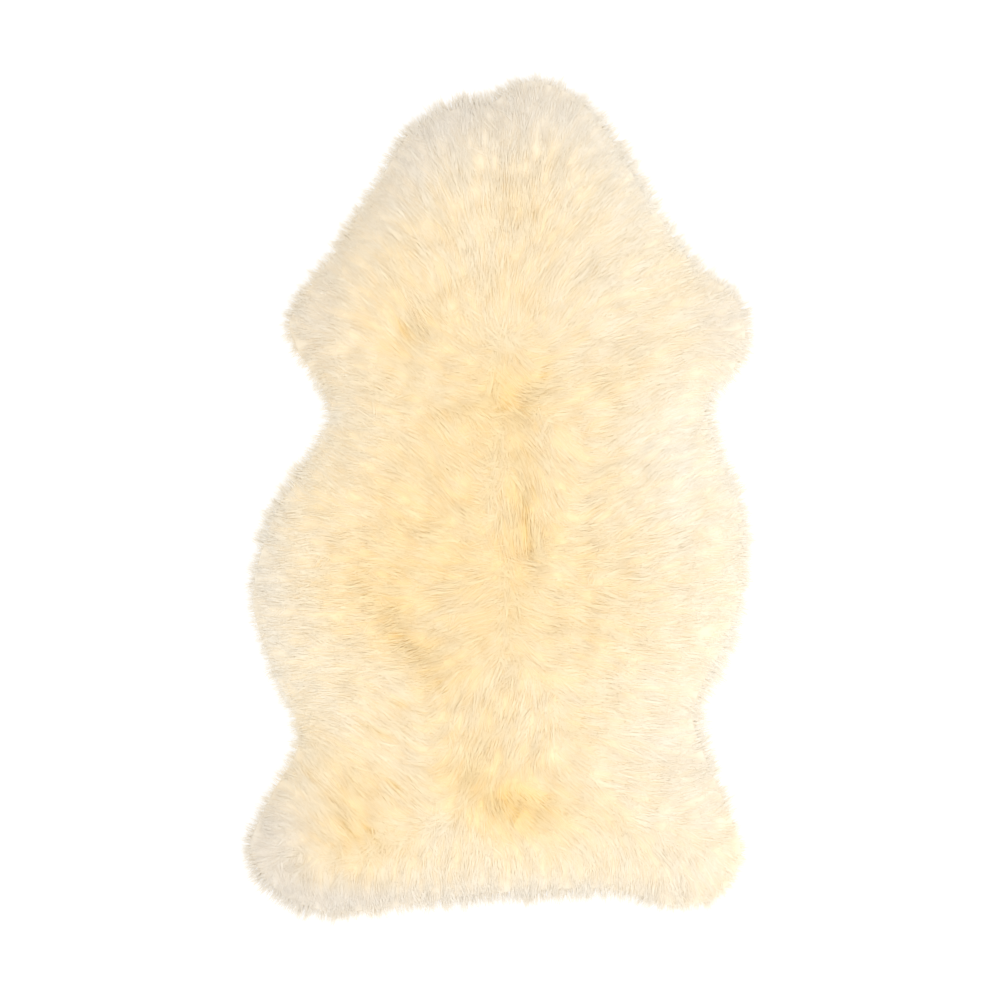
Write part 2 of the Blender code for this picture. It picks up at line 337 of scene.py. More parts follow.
FILL_CELL = 0.0065
FILL_LEAST = 9  # strand marks in a cell that isn't bare
FILL_MARKS = 5  # marks on each piece of a strand
FILL_LENGTH = (0.026, 0.036)
FILL_TURN = math.radians(30.0)
FILL_BACK = 0.45  # how much of a filling wisp lies before its cell's middle
FILL_STRANDS = 8
FILL_RADIUS = 0.0060

RIM_PITCH = 0.0062
RIM_SUBSTEPS = 8  # outline points for each root of a row
RIM_STAGGER = 3  # of those points, how far each row is moved along from the one below
RIM_REACH = 12  # points to each side that the way straight out is taken over
RIM_ROWS = (
    # name, inset of the roots, share of the fleece's height, length
    ("lying", 0.0190, 0.06, 0.0270),
    ("low", 0.0170, 0.28, 0.0265),
    ("middle", 0.0165, 0.52, 0.0270),
    ("high", 0.0180, 0.78, 0.0300),
)
RIM_JITTER = 0.0015
RIM_LENGTH = (0.85, 1.20)
RIM_LIFT = (0.0, 0.003)
RIM_HEIGHT = (0.85, 1.15)
RIM_STRANDS_IN_WISP = 6
RIM_RADIUS = 0.0040
SEED = 7

UV_STRAND_SHAPE = 1.3  # how many times more strands lie side by side than above one another
UV_CELL_EDGE = 0.08  # bare at each side of a strand's cell
UV_CELL_FILL = 0.84
UV_PLAN_FILL = 0.48  # breadth of the body's top on the image, and of its bottom
UV_TOP_START = 0.01
UV_BOTTOM_START = 0.51

# ---------------------------------------------------------------- hide

HIDE_INSET = 0.0300  # how far the trimmed edge lies in from the lock tips
HIDE_THICKNESS = 0.0022
HIDE_PITCH = 0.0120
HIDE_JITTER = 0.15
HIDE_SEAM = 0.8
HIDE_STATIONS = 300
HIDE_REACH = 6
HIDE_WAVE = 0.0012  # a slow in-and-out of the edge
HIDE_WAVE_PITCH = 0.024
HIDE_WAVE_LEVEL = 9.0
HIDE_GRAIN = 0.00012
HIDE_GRAIN_PITCH = 0.013
HIDE_ROUNDING = 0.0003

# ---------------------------------------------------------------- colours

WOOL_PALE = (0.958, 0.890, 0.760, 1.0)
WOOL_WARM = (0.945, 0.715, 0.322, 1.0)
PALEST = -0.30  # the warmth at which the wool is WOOL_PALE; at 1 it is WOOL_WARM
# the colour of the painted shade on the rims
WOOL_SHADE = (0.790, 0.742, 0.690, 1.0)
WOOL_ROUGHNESS = 0.85
WOOL_SPECULAR = 0.15
WOOL_SHEEN = 0.25
WOOL_SHEEN_ROUGHNESS = 0.6
CLOUD_SCALE = 26.0
CLOUD_DETAIL = 3.0
CLOUD_WARMTH = 0.45  # between the palest and the warmest place of the clouds
DEPTH_WARMTH_AND_SHADE = 0.16  # at the roots, beside none at the tips: partly the deep wool's own tone, partly painted shade
STRAND_WARMTH = 0.05  # between one strand and another
SUEDE_STOPS = ((0.35, (0.62, 0.50, 0.36, 1.0)), (0.70, (0.80, 0.70, 0.55, 1.0)))
SUEDE_CLOUD = {"Scale": 9.0, "Detail": 5.0, "Roughness": 0.6}
SUEDE_NAP = {"Scale": 900.0, "Detail": 2.0}
SUEDE_NAP_SHARE = 0.5  # how much the nap adds to the clouds' tone
SUEDE_BUMP = {"Strength": 0.25, "Distance": 0.0006}
SUEDE_ROUGHNESS = 0.92
SUEDE_SHEEN = 0.2
FLOOR_GREY = (0.35, 0.35, 0.35, 1.0)
FLOOR_ROUGHNESS = 0.9

# ---------------------------------------------------------------- camera and light

CAMERA_PLACE = (0.0029, -0.0047, 3.020)
CAMERA_LENS = 91.6
CAMERA_SENSOR = 36.0
DOME_STRENGTH = 0.99
KEY_PLACE = (1.3, -0.7, 2.6)
KEY_SIZE = 2.0
KEY_POWER = 28.0
FLOOR_SIZE = 60.0
FLOOR_DROP = 0.0004
FLOOR_GLOW = 0.72  # the floor is a light table


def spline_point(before, start, end, after, t):
    """A point of the Catmull-Rom curve from start to end, at share t of the way."""
    slope_in = (end - before) / 2
    slope_out = (after - start) / 2
    gap = end - start
    bend = 3 * gap - 2 * slope_in - slope_out
    twist = slope_in + slope_out - 2 * gap
    return start + t * (slope_in + t * (bend + t * twist))


def smooth_outline():
    """The closed curve through the landmarks, as an array of dense points."""
    marks = np.array([(x, y) for _, x, y in LANDMARKS]) * MM
    corners = [np.roll(marks, shift, axis=0) for shift in (1, 0, -1, -2)]
    steps = [spline_point(*corners, step / SPLINE_STEPS) for step in range(SPLINE_STEPS)]
    return np.stack(steps, axis=1).reshape(-1, 2)


def evenly_spaced(curve, count):
    """The same closed curve with its points at equal distances."""
    closed = np.vstack([curve, curve[:1]])
    walked = np.concatenate([[0.0], np.cumsum(np.linalg.norm(np.diff(closed, axis=0), axis=1))])
    places = np.arange(count) * walked[-1] / count
    return np.stack([np.interp(places, walked, closed[:, axis]) for axis in (0, 1)], axis=1)


def outward_directions(curve, reach):
    """The outward normal at each point of a clockwise curve, smoothed over its neighbours."""
    along = np.roll(curve, -reach, axis=0) - np.roll(curve, reach, axis=0)
    outward = np.stack([-along[:, 1], along[:, 0]], axis=1)
    return outward / np.linalg.norm(outward, axis=1)[:, None]


def bells(table, x, y):
    """The sum of a table's bells at places: (name, x, y, half length, half width, angle, amount)."""
    total = np.zeros_like(x)
    for _, mid_x, mid_y, half_length, half_width, angle, amount in table:
        turn = math.radians(angle)
        dx = x / MM - mid_x
        dy = y / MM - mid_y
        along = (dx * math.cos(turn) + dy * math.sin(turn)) / half_length
        across = (dy * math.cos(turn) - dx * math.sin(turn)) / half_width
        total += amount * np.exp(-(along**2) - across**2)
    return total


def noise_at(x, y, pitch, level=0.0):
    """Smooth noise from about -1 to 1 at places."""
    return np.array([
        noise.noise(Vector((px, py, level))) for px, py in zip(x.ravel() / pitch, y.ravel() / pitch)
    ]).reshape(x.shape)


def tuft_domes(x, y):
    """Domes over cells a tuft across: TUFT_MIDDLE at their middles, 0 or less at their edges."""
    return TUFT_MIDDLE - np.array([
        noise.voronoi(Vector((px, py, 0.0)))[0][0]
        for px, py in zip(x.ravel() / TUFT_PITCH, y.ravel() / TUFT_PITCH)
    ]).reshape(x.shape)


class Fields:
    """What is known at each place of the rug, on a grid: inset, way out, height, combing, tint."""

    def __init__(self, outline):
        axes = [np.arange(low, high, GRID) for low, high in zip(GRID_LOW, GRID_HIGH)]
        x, y = np.meshgrid(*axes, indexing="ij")
        self.inset, self.out_x, self.out_y = self.measure_inset(outline, x, y)
        share = np.clip(self.inset / CROWN_RUN, 0.0, 1.0)
        dome = np.sqrt(1 - (1 - share) ** 2)
        swell = noise_at(x, y, SWELL_PITCH) * SWELL_RISE
        creases = bells(CREASES, x, y)
        lumps = (bells(RELIEF, x, y) - creases) * MM + swell + tuft_domes(x, y) * TUFT_RISE
        self.height = PILE * dome + lumps * np.sqrt(share)
        self.comb_x, self.comb_y = self.combing(x, y)
        self.thinness = np.exp(-((np.clip(self.inset, 0.0, None) / RIM_FADE) ** 2))
        # warmth: the wool's own tone, with painted shade in the creases and partings and painted
        # light on the right and at the rim
        self.warmth = bells(WARMTH_SHADE_AND_LIGHT, x, y) + creases * CREASE_PAINTED_SHADE - RIM_PALENESS_AND_LIGHT * self.thinness
        # painted shade on the rims, cleared a little at the very rim
        self.painted_shade = bells(PAINTED_RIM_SHADE, x, y) * (1 - RIM_CLEARNESS * self.thinness)

    @staticmethod
    def measure_inset(outline, x, y):
        """The distance in from the outline, below 0 outside it, and the way straight out."""
        outward = outward_directions(outline, OUTLINE_REACH)
        tree = kdtree.KDTree(len(outline))
        for i, point in enumerate(outline):
            tree.insert((*point, 0.0), i)
        tree.balance()
        found = [tree.find((px, py, 0.0)) for px, py in zip(x.ravel(), y.ravel())]
        nearest = np.array([hit[1] for hit in found]).reshape(x.shape)
        distance = np.array([hit[2] for hit in found]).reshape(x.shape)
        way = outward[nearest]
        offset = np.stack([x, y], axis=-1) - outline[nearest]
        outside = (offset * way).sum(axis=-1) > 0
        return np.where(outside, -distance, distance), way[..., 0], way[..., 1]

    def combing(self, x, y):
        """The way the wool lies, by the combing marks and straight out at the rim."""
        flow_x = np.zeros_like(x)
        flow_y = np.zeros_like(x)
        for _, mid_x, mid_y, angle, reach in COMBING:
            away = ((x / MM - mid_x) ** 2 + (y / MM - mid_y) ** 2) / reach**2
            weight = np.exp(-away) + FAR_COMBING / (1 + away)
            flow_x += weight * math.cos(math.radians(angle))
            flow_y += weight * math.sin(math.radians(angle))
        length = np.hypot(flow_x, flow_y) + TINY
        at_rim = np.exp(-np.clip(self.inset, 0.0, None) / RIM_COMB_REACH)
        flow_x = flow_x / length * (1 - at_rim) + self.out_x * at_rim
        flow_y = flow_y / length * (1 - at_rim) + self.out_y * at_rim
        length = np.hypot(flow_x, flow_y) + TINY
        return flow_x / length, flow_y / length

    def at(self, name, x, y):
        """A field's value at places, read between the grid's points."""
        values = getattr(self, name)
        u = np.clip((x - GRID_LOW[0]) / GRID, 0, values.shape[0] - GRID_EDGE)
        v = np.clip((y - GRID_LOW[1]) / GRID, 0, values.shape[1] - GRID_EDGE)
        i, j = u.astype(int), v.astype(int)
        fu, fv = u - i, v - j
        near = values[i, j] * (1 - fu) + values[i + 1, j] * fu
        far = values[i, j + 1] * (1 - fu) + values[i + 1, j + 1] * fu
        return near * (1 - fv) + far * fv


# ---------------------------------------------------------------- meshes


def make_mesh(name, points, faces, attributes, uv=None):
    """A mesh object from arrays: points, faces as lists of corners, and values for each point."""
    corners = np.concatenate([np.asarray(f, np.int32).ravel() for f in faces])
    totals = np.concatenate([np.full(len(f), len(f[0]), np.int32) for f in faces])
    starts = np.concatenate([[0], np.cumsum(totals)[:-1]]).astype(np.int32)
    mesh = bpy.data.meshes.new(name)
    mesh.vertices.add(len(points))
    mesh.vertices.foreach_set("co", points.astype(np.float32).ravel())
    mesh.loops.add(len(corners))
    mesh.loops.foreach_set("vertex_index", corners)
    mesh.polygons.add(len(starts))
    mesh.polygons.foreach_set("loop_start", starts)
    mesh.update(calc_edges=True)
    for key, values in attributes.items():
        layer = mesh.attributes.new(key, "FLOAT", "POINT")
        layer.data.foreach_set("value", values.astype(np.float32))
    if uv is not None:
        layer = mesh.uv_layers.new(name="OFBake")
        layer.uv.foreach_set("vector", uv.astype(np.float32).ravel())
    mesh.shade_flat()
    obj = bpy.data.objects.new(name, mesh)
    bpy.context.scene.collection.objects.link(obj)
    return obj


def jittered_lattice(pitch, jitter, chance):
    """Points of a triangular lattice over the grid's box, each strayed a little."""
    row_pitch = pitch * math.sqrt(3) / 2
    rows = int((GRID_HIGH[1] - GRID_LOW[1]) / row_pitch)
    columns = int((GRID_HIGH[0] - GRID_LOW[0]) / pitch)
    row, column = np.meshgrid(np.arange(rows), np.arange(columns), indexing="ij")
    x = GRID_LOW[0] + (column + 0.5 * (row % 2)) * pitch
    y = GRID_LOW[1] + row * row_pitch
    lattice = np.stack([x.ravel(), y.ravel()], axis=1)
    return lattice + chance.uniform(-jitter, jitter, lattice.shape) * pitch


def filled_ring(edge, inner):
    """The triangles that fill a closed edge through inner points: all the points, the triangles."""
    places = [Vector(p) for p in np.vstack([edge, inner])]
    filled = geometry.delaunay_2d_cdt(places, [], [list(range(len(edge)))], 1, SAME_POINT)
    points = np.array([tuple(p) for p in filled[0]])
    return points, facing_up(points, np.array(filled[2], np.int32))


def facing_up(points, triangles):
    """The same triangles, each turned to face up."""
    a, b, c = (points[triangles[:, k], :2] for k in range(3))
    turn = (b[:, 0] - a[:, 0]) * (c[:, 1] - a[:, 1]) - (b[:, 1] - a[:, 1]) * (c[:, 0] - a[:, 0])
    return np.where(turn[:, None] > 0, triangles, triangles[:, ::-1])


def belt_between(upper, lower, count):
    """The quads between two closed rings of points that start at these numbers."""
    station = np.arange(count)
    after = (station + 1) % count
    return np.column_stack([upper + station, upper + after, lower + after, lower + station])


def wool_values(fields, x, y, along, chance):
    """What the wool's material reads at each point."""
    return {
        "warmth": fields.at("warmth", x, y),
        "painted_shade": fields.at("painted_shade", x, y),
        "along": along,
        "chance": chance,
    }


def top_and_bottom_uv(points, faces, tops):
    """A plan map: what faces up on the left half of the image and the rest on the right."""
    corners = np.concatenate([f.ravel() for f in faces])
    sizes = np.concatenate([np.full(len(f), f.shape[1]) for f in faces])
    up = np.repeat(tops, sizes)
    plan = (points[corners, :2] - GRID_LOW) / (np.array(GRID_HIGH) - GRID_LOW)
    plan[:, 0] = plan[:, 0] * UV_PLAN_FILL + np.where(up, UV_TOP_START, UV_BOTTOM_START)
    return plan


def body_height(fields, plan):
    """The under-fleece's height: the fleece's own less the loose wool, with combed ridges."""
    x, y = plan[:, 0], plan[:, 1]
    flow_x, flow_y = fields.at("comb_x", x, y), fields.at("comb_y", x, y)
    across = (-flow_y * x + flow_x * y) / BODY_COMB_PITCH
    along = (flow_x * x + flow_y * y) / (BODY_COMB_STRETCH * BODY_COMB_PITCH)
    ridges = noise_at(across, along, 1.0, BODY_COMB_LEVEL)
    height = fields.at("height", x, y)
    raised = ridges * BODY_COMB_RISE * np.minimum(1, height / PILE)
    sink = BODY_SINK + BODY_RIM_SINK * fields.at("thinness", x, y)
    return np.maximum(height - sink + raised, BODY_LEAST)


def make_under_fleece(fields, outline):
    """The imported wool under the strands: a closed body, combed in small ridges, on the hide."""
    chance = np.random.default_rng(SEED)
    curve = evenly_spaced(outline, BODY_STATIONS)
    outward = outward_directions(curve, BODY_REACH)
    rings = []
    for number, (_, inset, height) in enumerate(BODY_RINGS):
        wave = BODY_WAVE * noise_at(*curve.T, BODY_WAVE_PITCH, number * BODY_WAVE_LEVEL)
        flat = curve - outward * (inset + wave)[:, None]
        level = body_height(fields, flat) if height is None else np.full(BODY_STATIONS, height)
        rings.append(np.column_stack([flat, level]))
    inner = jittered_lattice(BODY_PITCH, BODY_JITTER, chance)
    clear = fields.at("inset", *inner.T) > BODY_RINGS[0][1] + BODY_SEAM * BODY_PITCH
    plan, crown = filled_ring(rings[0][:, :2], inner[clear])
    crown_points = np.column_stack([plan, body_height(fields, plan)])
    base_inner = jittered_lattice(BODY_BASE_PITCH, BODY_BASE_JITTER, chance)
    clear = fields.at("inset", *base_inner.T) > BODY_RINGS[-1][1] + BODY_SEAM * BODY_BASE_PITCH
    base_plan, base = filled_ring(rings[-1][:, :2], base_inner[clear])
    base_points = np.column_stack([base_plan, np.full(len(base_plan), BODY_RINGS[-1][2])])
    middle = np.vstack(rings[1:-1])
    points = np.vstack([crown_points, middle, base_points])
    starts = [0, *(len(crown_points) + k * BODY_STATIONS for k in range(len(rings) - 1))]
    walls = [belt_between(upper, lower, BODY_STATIONS) for upper, lower in zip(starts, starts[1:])]
    faces = [crown, np.vstack(walls), base[:, ::-1] + starts[-1]]
    tops = np.arange(sum(len(f) for f in faces)) < len(crown)
    grain = 0.5 + 0.5 * noise_at(points[:, 0], points[:, 1], BODY_GRAIN_PITCH)
    # past the roots: the body is painted warmer and darker, as shade between the strands
    along = np.full(len(points), BODY_ALONG_WITH_SHADE)
    values = wool_values(fields, points[:, 0], points[:, 1], along, grain)
    return make_mesh("under_fleece", points, faces, values, top_and_bottom_uv(points, faces, tops))


# ---------------------------------------------------------------- strands


def turn_by(way_x, way_y, angle):
    """Plan directions turned by angles."""
    cos, sin = np.cos(angle), np.sin(angle)
    return way_x * cos - way_y * sin, way_x * sin + way_y * cos


def combed_lines(fields, roots, lengths, turns):
    """The plan line of each wisp, which follows the combing from its root."""
    line = [roots]
    for step in np.diff(STRAND_SHARES):
        x, y = line[-1][:, 0], line[-1][:, 1]
        flow = turn_by(fields.at("comb_x", x, y), fields.at("comb_y", x, y), turns)
        line.append(line[-1] + np.stack(flow, axis=1) * (lengths * step)[:, None])
    return np.stack(line, axis=1)


def crossing_lines(fields, middles, chance):
    """Straight plan lines through bare places, about the way that the wool is combed there."""
    count = len(middles)
    x, y = middles.T
    turns = chance.normal(0.0, FILL_TURN, count)
    way = np.stack(turn_by(fields.at("comb_x", x, y), fields.at("comb_y", x, y), turns), axis=1)
    run = way * chance.uniform(*FILL_LENGTH, count)[:, None]
    shares = np.array(STRAND_SHARES)[None, :, None] - FILL_BACK
    return middles[:, None] + run[:, None] * shares


def keep_inside(fields, line, overhang):
    """Shorten the wisps that would reach further over the rim than their overhang."""
    scale = np.ones(len(line))
    for _ in range(SHORTENINGS):
        tip = line[:, 0] + (line[:, -1] - line[:, 0]) * scale[:, None]
        reach = overhang + bells(LONG_LOCKS, *tip.T) * MM
        over = (fields.at("inset", *tip.T) < -reach) | (np.abs(tip[:, 0]) > SIDE_LIMIT)
        scale = np.where(over, scale * SHORTENING, scale)
    return line[:, :1] + (line - line[:, :1]) * scale[:, None, None]


def strand_points(fields, line, level, lift, radius, count, chance):
    """The centre line of each strand of each wisp, as (strand, station, axis)."""
    total = len(line) * count
    line = np.repeat(line, count, axis=0)
    level = np.repeat(level, count)
    lift = np.repeat(lift, count)
    spread = radius * np.sqrt(chance.random(total))
    around = chance.uniform(0, 2 * math.pi, total)
    offset = np.stack([spread * np.cos(around), spread * np.sin(around)], axis=1)
    reach = chance.uniform(*STRAND_LENGTH, total)
    turn = chance.normal(0.0, STRAND_TURN, total)
    root = line[:, :1]
    run = (line - root) * reach[:, None, None]
    run = np.stack(turn_by(run[..., 0], run[..., 1], turn[:, None]), axis=-1)
    closing = 1 - WISP_CLOSING * np.array(STRAND_SHARES)
    plan = root + run + offset[:, None] * closing[None, :, None]
    ground = fields.at("height", plan[..., 0], plan[..., 1]) * level[:, None]
    own_lift = lift * chance.uniform(*STRAND_LIFT, total)
    own_lift *= 1 - WISP_CROWN * (spread / radius) ** 2
    rise = np.array(STRAND_RISE)
    depth = STRAND_ROOT_DEPTH * np.minimum(1.0, ground[:, :1] / STRAND_FULL_DEPTH)
    z = ground + np.where(rise < 0, rise * depth, rise * own_lift[:, None])
    return np.concatenate([plan, z[..., None]], axis=2)


def wisps_along(fields, line, radius, strands, chance):
    """The strands of the crown's wisps that lie along these plan lines."""
    count = len(line)
    line = keep_inside(fields, line, chance.uniform(*OVERHANG, count))
    lift = chance.uniform(*WISP_LIFT, count)
    return strand_points(fields, line, np.ones(count), lift, radius, strands, chance)


def bare_places(fields, centres):
    """The middles of the crown's cells that too few strands cross."""
    shares = np.arange(FILL_MARKS) / FILL_MARKS
    start, end = centres[:, 1:-1, None, :2], centres[:, 2:, None, :2]
    marks = (start + (end - start) * shares[:, None]).reshape(-1, 2)
    edges = [np.arange(low, high, FILL_CELL) for low, high in zip(GRID_LOW, GRID_HIGH)]
    crossed = np.histogram2d(*marks.T, bins=edges)[0]
    x, y = np.meshgrid(*[edge[:-1] + FILL_CELL / 2 for edge in edges], indexing="ij")
    bare = (crossed < FILL_LEAST) & (fields.at("inset", x, y) > CROWN_INSET)
    return np.stack([x[bare], y[bare]], axis=1)


def crown_wool(fields, chance):
    """The wisps that cover the fleece, as centre lines ordered from the neck to the tail."""
    roots = jittered_lattice(CROWN_WISP_PITCH, CROWN_JITTER, chance)
    roots = roots[fields.at("inset", *roots.T) > CROWN_INSET]
    count = len(roots)
    turns = chance.normal(0.0, WISP_TURN, count)
    turns += CLUMP_TURN * noise_at(*roots.T, CLUMP_PITCH, CLUMP_LEVEL)
    line = combed_lines(fields, roots, chance.uniform(*WISP_LENGTH, count), turns)
    combed = wisps_along(fields, line, WISP_RADIUS, STRANDS_IN_WISP, chance)
    crossing = crossing_lines(fields, bare_places(fields, combed), chance)
    filling = wisps_along(fields, crossing, FILL_RADIUS, FILL_STRANDS, chance)
    centres = np.concatenate([combed, filling])
    return centres[np.argsort(-centres[:, 0, 1], kind="stable")]


def rim_wool(fields, outline, chance):
    """The locks that hang out all round the rim, in rows one above the other."""
    length = np.linalg.norm(np.diff(outline, axis=0), axis=1).sum()
    count = int(length / RIM_PITCH)
    parts = []
    for number, (_, inset, level, reach) in enumerate(RIM_ROWS):
        curve = evenly_spaced(outline, count * RIM_SUBSTEPS)
        curve = np.roll(curve, number * RIM_STAGGER, axis=0)
        outward = outward_directions(curve, RIM_REACH)[::RIM_SUBSTEPS]
        inward = outward * (inset + chance.normal(0, RIM_JITTER, count))[:, None]
        roots = curve[::RIM_SUBSTEPS] - inward
        lengths = reach * chance.uniform(*RIM_LENGTH, count) + bells(LONG_LOCKS, *roots.T) * MM
        turns = chance.normal(0.0, WISP_TURN, count)
        line = combed_lines(fields, roots, lengths, turns)
        line = keep_inside(fields, line, chance.uniform(*OVERHANG, count))
        lift = chance.uniform(*RIM_LIFT, count)
        levels = level * chance.uniform(*RIM_HEIGHT, count)
        strands = (RIM_RADIUS, RIM_STRANDS_IN_WISP, chance)
        parts.append(strand_points(fields, line, levels, lift, *strands))
    return np.concatenate(parts)


def unit(vectors):
    """Vectors of length 1."""
    return vectors / np.maximum(np.linalg.norm(vectors, axis=-1, keepdims=True), TINY)


def make_strands(name, fields, centres, chance):
    """One mesh of closed three-sided strands, each tapering to a point."""
    count, stations, _ = centres.shape
    rings = stations - 1
    widths = np.array(STRAND_WIDTHS) * chance.uniform(*STRAND_BREADTH, count)[:, None]
    clearance = np.append(widths, widths[:, -1:] / TIP_THINNING, axis=1)
    centres[..., 2] = np.maximum(centres[..., 2], clearance)
    tangent = unit(np.gradient(centres, axis=1))
    side = unit(np.cross(tangent, (0.0, 0.0, 1.0)))
    down = np.cross(tangent, side)
    roll = chance.normal(FLAT_SIDE_UP, STRAND_ROLL, count)
    tip = rings * 3  # the number of a strand's last point
    points = np.empty((count, tip + 1, 3))
    for ring in range(rings):
        for corner in range(3):
            angle = (roll + corner * 2 * math.pi / 3)[:, None]
            sunk = down[:, ring] * np.sin(angle) * STRAND_FLATNESS
            offset = side[:, ring] * np.cos(angle) + sunk
            points[:, ring * 3 + corner] = centres[:, ring] + offset * widths[:, ring, None]
    points[:, -1] = centres[:, -1]
    points[..., 2] = np.maximum(points[..., 2], 0.0)
    pairs = ((0, 1), (1, 2), (2, 0))
    quads = [(k + a, k + b, k + 3 + b, k + 3 + a) for k in range(0, tip - 3, 3) for a, b in pairs]
    triangles = [(tip - 3 + a, tip - 3 + b, tip) for a, b in pairs] + [(0, 2, 1)]
    base = np.arange(count)[:, None, None] * (tip + 1)
    faces = [
        (base + np.array(quads)[None]).reshape(-1, 4),
        (base + np.array(triangles)[None]).reshape(-1, 3),
    ]
    along = np.append(np.repeat(STRAND_SHARES[:-1], 3), 1.0)
    flat = points.reshape(-1, 3)
    own = np.repeat(chance.random(count), tip + 1)
    values = wool_values(fields, flat[:, 0], flat[:, 1], np.tile(along, count), own)
    return make_mesh(name, flat, faces, values, strand_uv(count, quads, triangles, along))


def strand_uv(count, quads, triangles, along):
    """A map with a cell of the image for each strand: its length up it, its sides on one another."""
    columns = math.ceil(math.sqrt(count * UV_STRAND_SHAPE))
    rows = math.ceil(count / columns)
    cell = np.stack([np.arange(count) % columns, np.arange(count) // columns], axis=1)
    size = np.array([1 / columns, 1 / rows])

    def laid(template):
        template = np.array(template, float) * UV_CELL_FILL + UV_CELL_EDGE
        return ((cell[:, None, :] + template[None]) * size).reshape(-1, 2)

    quad_map = [
        (across, along[corner]) for quad in quads for across, corner in zip((0, 1, 1, 0), quad)
    ]
    tip_map = [
        (across, along[corner]) for tip in triangles[:-1] for across, corner in zip((0, 1, 0.5), tip)
    ]
    base_map = [(0, 0), (1, 0), (0.5, 0.05)]
    return np.vstack([laid(quad_map), laid(tip_map + base_map)])


# ---------------------------------------------------------------- hide


def make_hide(fields, outline):
    """The tanned skin under the wool: a thin sheet with a trimmed edge. Its size and area too."""
    chance = np.random.default_rng(SEED + 1)
    curve = evenly_spaced(outline, HIDE_STATIONS)
    outward = outward_directions(curve, HIDE_REACH)
    wave = HIDE_WAVE * noise_at(*curve.T, HIDE_WAVE_PITCH, HIDE_WAVE_LEVEL)
    edge = curve - outward * (HIDE_INSET + wave)[:, None]
    inner = jittered_lattice(HIDE_PITCH, HIDE_JITTER, chance)
    clear = fields.at("inset", *inner.T) > HIDE_INSET + HIDE_SEAM * HIDE_PITCH
    plan, triangles = filled_ring(edge, inner[clear])
    grain = HIDE_GRAIN * noise_at(*plan.T, HIDE_GRAIN_PITCH)
    rounding = np.where(np.arange(len(plan)) < HIDE_STATIONS, HIDE_ROUNDING, 0.0)
    lower = np.column_stack([plan, np.abs(grain) + rounding])
    upper = np.column_stack([plan, HIDE_THICKNESS + grain - rounding])
    bulge = edge + outward * HIDE_ROUNDING
    belt = np.column_stack([bulge, np.full(HIDE_STATIONS, HIDE_THICKNESS / 2)])
    points = np.vstack([upper, lower, belt])
    belt_start = 2 * len(plan)
    walls = [
        belt_between(0, belt_start, HIDE_STATIONS),
        belt_between(belt_start, len(plan), HIDE_STATIONS),
    ]
    faces = [triangles, triangles[:, ::-1] + len(plan), np.vstack(walls)]
    hide = make_mesh("hide", points, faces, {})
    area = sum(p.area for p in hide.data.polygons) / 2
    return hide, np.ptp(plan, axis=0), area


# ---------------------------------------------------------------- materials


def new_material(name):
    """A node material, its tree and its shader."""
    material = bpy.data.materials.new(name)
    material.use_nodes = True
    return material, material.node_tree, material.node_tree.nodes["Principled BSDF"]


def put(tree, socket, value):
    """Link a socket to another, or set its value."""
    if isinstance(value, bpy.types.NodeSocket):
        tree.links.new(value, socket)
    else:
        socket.default_value = value


def add_node(tree, kind, inputs=None, **settings):
    """A node with its settings, input values and links."""
    node = tree.nodes.new(kind)
    for key, value in settings.items():
        setattr(node, key, value)
    for key, value in (inputs or {}).items():
        put(tree, node.inputs[key], value)
    return node


def scalar(tree, operation, *values):
    """The result of a Math node."""
    inputs = dict(enumerate(values))
    return add_node(tree, "ShaderNodeMath", inputs, operation=operation).outputs[0]


def blend_colours(tree, share, a, b):
    """The result of a colour Mix node, whose colours are its sockets 6 and 7."""
    inputs = {0: share, 6: a, 7: b}
    return add_node(tree, "ShaderNodeMix", inputs, data_type="RGBA").outputs[2]


def attribute(tree, name):
    """A value that the mesh holds at each point."""
    return add_node(tree, "ShaderNodeAttribute", attribute_name=name).outputs["Fac"]


def clamped(tree, value):
    """A value kept from 0 to 1."""
    return add_node(tree, "ShaderNodeClamp", {"Value": value}).outputs[0]


